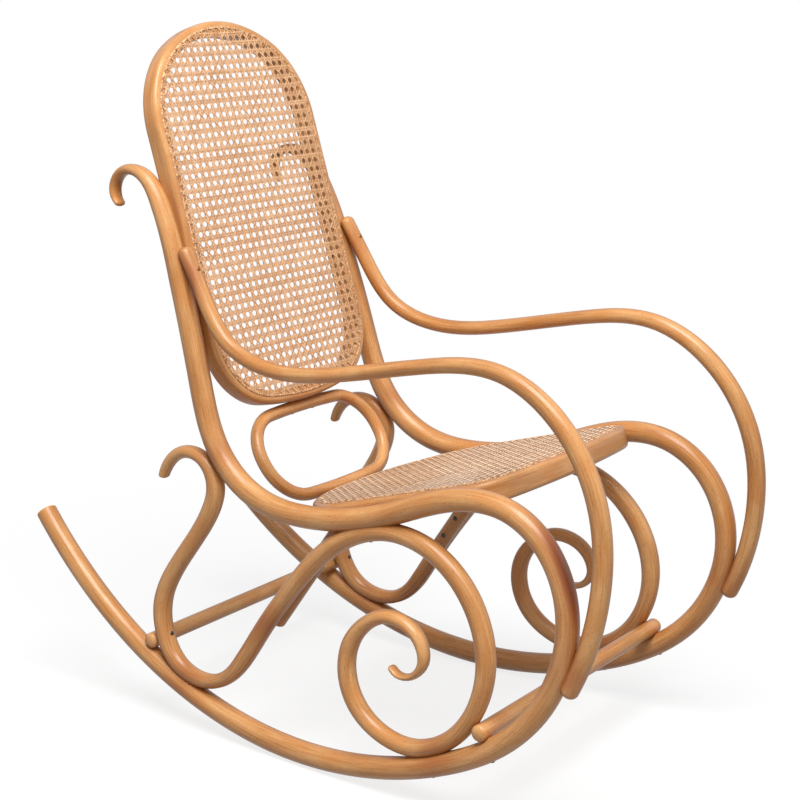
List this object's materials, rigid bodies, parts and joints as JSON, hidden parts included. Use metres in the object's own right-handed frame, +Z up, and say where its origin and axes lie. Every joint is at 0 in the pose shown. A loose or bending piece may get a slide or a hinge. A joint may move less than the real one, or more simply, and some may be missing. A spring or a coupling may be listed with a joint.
{
  "type": "bentwood rocking chair",
  "caption": "Bentwood rocking chair with scrolled sides, curved armrests, and woven cane seat and back.",
  "frame": {"origin": "on the floor under the middle of the chair's box", "axes": "+Z up, +Y towards the back of the chair, +X to the sitter's left"},
  "size_m": [0.516, 1.0696, 1.0634],
  "materials": {
    "bent_wood": "satin varnished beech",
    "cane": "natural woven cane",
    "cane_spline": "varnished reed strip",
    "screws": "aged steel"
  },
  "bodies": {
    "root": {"main_rod_left": "bent_wood", "main_rod_right": "bent_wood", "armrest_left": "bent_wood", "armrest_right": "bent_wood", "scroll_left": "bent_wood", "scroll_right": "bent_wood", "seat_brace_left": "bent_wood", "seat_brace_right": "bent_wood", "back_frame": "bent_wood", "seat_frame": "bent_wood", "oval_ring": "bent_wood", "front_stretcher": "bent_wood", "rear_stretcher": "bent_wood", "back_cane": "cane", "seat_cane": "cane", "back_spline": "cane_spline", "seat_spline": "cane_spline", "armrest_screws": "screws", "back_frame_screws": "screws", "seat_frame_screws": "screws", "stretcher_screws": "screws", "scroll_screws": "screws", "brace_screws": "screws", "oval_ring_screws": "screws"}
  },
  "joints": []
}
